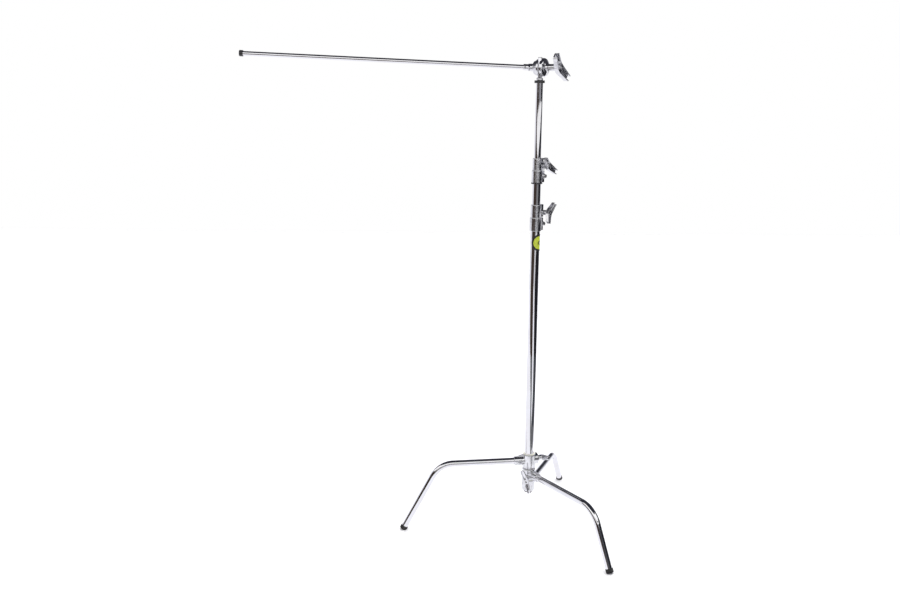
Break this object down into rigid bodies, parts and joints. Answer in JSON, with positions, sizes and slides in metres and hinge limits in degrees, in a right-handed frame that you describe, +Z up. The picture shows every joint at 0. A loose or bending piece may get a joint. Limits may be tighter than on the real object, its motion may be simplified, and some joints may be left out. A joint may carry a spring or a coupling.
{
  "type": "century stand with sliding leg and grip arm",
  "caption": "Chromed lighting stand on bent swing legs, one of them sliding, with telescoping risers, split clamp collars and a grip head holding a long horizontal arm.",
  "frame": {"origin": "on the floor, under the column's axis", "axes": "+Z up along the column; the arm points along -X; +Y is behind the stand"},
  "size_m": [1.3538, 0.8391, 1.807],
  "materials": {
    "chrome_tube": "polished chrome plate on steel tube",
    "chrome_casting": "chrome plate on a cast surface, slightly dull",
    "black_rubber": "matt black rubber",
    "black_plastic": "black moulded plastic",
    "nylon_bush": "natural nylon",
    "black_steel": "black oxide screws",
    "zinc_steel": "bright zinc plated fasteners",
    "spring_steel": "drawn spring wire",
    "yellow_label": "round printed label, yellow with a black border"
  },
  "bodies": {
    "stand": {"column_tube": "chrome_tube", "column_plug": "black_plastic", "low_leg_casting": "chrome_casting", "rear_leg_screws": "black_steel", "rear_leg": "chrome_tube", "rear_foot": "black_rubber", "casting_washer": "nylon_bush", "lower_collar": "chrome_casting", "lower_collar_bush": "nylon_bush", "lower_collar_nuts": "zinc_steel", "lower_collar_pinch_bolt": "zinc_steel", "label": "yellow_label"},
    "front_leg_body": {"mid_leg_casting": "chrome_casting", "front_leg_screws": "black_steel", "front_leg": "chrome_tube", "front_foot": "black_rubber"},
    "base_lock": {"base_lock_handle": "chrome_casting", "base_lock_screw": "zinc_steel"},
    "leg_slider": {"sliding_bush": "nylon_bush"},
    "left_leg_body": {"sliding_bracket": "chrome_casting", "left_leg_screws": "black_steel", "left_leg": "chrome_tube", "left_foot": "black_rubber"},
    "bracket_lock": {"bracket_lock_handle": "chrome_casting", "bracket_lock_screw": "zinc_steel"},
    "lower_clamp": {"lower_collar_handle": "chrome_casting", "lower_collar_clamp_screw": "zinc_steel"},
    "riser_1_slider": {"riser_1_bush": "nylon_bush"},
    "riser_1": {"riser_1_tube": "chrome_tube", "upper_collar": "chrome_casting", "upper_collar_bush": "nylon_bush", "upper_collar_nuts": "zinc_steel", "upper_collar_pinch_bolt": "zinc_steel", "upper_collar_ring": "black_plastic"},
    "upper_clamp": {"upper_collar_handle": "chrome_casting", "upper_collar_clamp_screw": "zinc_steel"},
    "riser_2_slider": {"riser_2_bush": "nylon_bush"},
    "riser_2": {"riser_2_tube": "chrome_tube", "top_ring": "black_plastic", "baby_pin": "chrome_tube"},
    "head": {"head_rear_plate": "chrome_casting", "head_bolt": "zinc_steel", "jaw_spring": "spring_steel", "head_socket_nut": "chrome_casting", "arm_collar": "chrome_tube", "arm_set_screw": "black_steel"},
    "head_jaw": {"head_front_plate": "chrome_casting", "head_thrust_washer": "zinc_steel"},
    "head_clamp": {"head_handle": "chrome_casting"},
    "arm": {"arm_rod": "chrome_tube", "arm_end_cap": "black_plastic"}
  },
  "joints": [
    {"name": "front_leg_fold", "type": "hinge", "parent": "stand", "child": "front_leg_body", "pos_m": [0, 0, 0.209], "axis": [0, 0, 1], "range_deg": [-106, 114]},
    {"name": "base_lock_turn", "type": "hinge", "parent": "front_leg_body", "child": "base_lock", "pos_m": [-0.0135, -0.05846, 0.199], "axis": [-0.225, -0.9744, 0], "range_deg": [0, 720]},
    {"name": "left_leg_slide", "type": "slide", "parent": "stand", "child": "leg_slider", "axis": [0, 0, 1], "range_m": [0, 0.3]},
    {"name": "left_leg_turn", "type": "hinge", "parent": "leg_slider", "child": "left_leg_body", "pos_m": [0, 0, 0.263], "axis": [0, 0, 1], "range_deg": [-110, 106]},
    {"name": "bracket_lock_turn", "type": "hinge", "parent": "left_leg_body", "child": "bracket_lock", "pos_m": [0.05638, 0.02052, 0.268], "axis": [0.9397, 0.342, 0], "range_deg": [0, 720]},
    {"name": "lower_clamp_turn", "type": "hinge", "parent": "stand", "child": "lower_clamp", "pos_m": [0.01721, 0.02457, 1.23424], "axis": [0.8192, -0.5736, 0], "range_deg": [0, 720]},
    {"name": "riser_1_slide", "type": "slide", "parent": "stand", "child": "riser_1_slider", "axis": [0, 0, 1], "range_m": [-0.055, 0.82]},
    {"name": "riser_1_turn", "type": "hinge", "parent": "riser_1_slider", "child": "riser_1", "pos_m": [0, 0, 0.32], "axis": [0, 0, 1], "continuous": true},
    {"name": "upper_clamp_turn", "type": "hinge", "parent": "riser_1", "child": "upper_clamp", "pos_m": [0.01721, 0.02457, 1.40572], "axis": [0.8192, -0.5736, 0], "range_deg": [0, 720]},
    {"name": "riser_2_slide", "type": "slide", "parent": "riser_1", "child": "riser_2_slider", "axis": [0, 0, 1], "range_m": [-0.25, 0.66]},
    {"name": "riser_2_turn", "type": "hinge", "parent": "riser_2_slider", "child": "riser_2", "pos_m": [0, 0, 0.66], "axis": [0, 0, 1], "continuous": true},
    {"name": "head_swing", "type": "hinge", "parent": "riser_2", "child": "head", "pos_m": [0, 0, 1.753], "axis": [0, 0, 1], "continuous": true},
    {"name": "jaw_open", "type": "slide", "parent": "head", "child": "head_jaw", "axis": [0.8387, -0.5446, 0], "range_m": [0, 0.006]},
    {"name": "head_clamp_turn", "type": "hinge", "parent": "head_jaw", "child": "head_clamp", "pos_m": [0.00926, 0.01426, 1.753], "axis": [0.8387, -0.5446, 0], "range_deg": [0, 720]},
    {"name": "arm_roll", "type": "hinge", "parent": "head", "child": "arm", "pos_m": [-0.03749, 0.02515, 1.75421], "axis": [-0.9992, 0, 0.0403], "continuous": true}
  ],
  "couplings": [
    {"joint": "jaw_open", "follows": "head_clamp_turn", "m_per_rad": 0.000477}
  ]
}
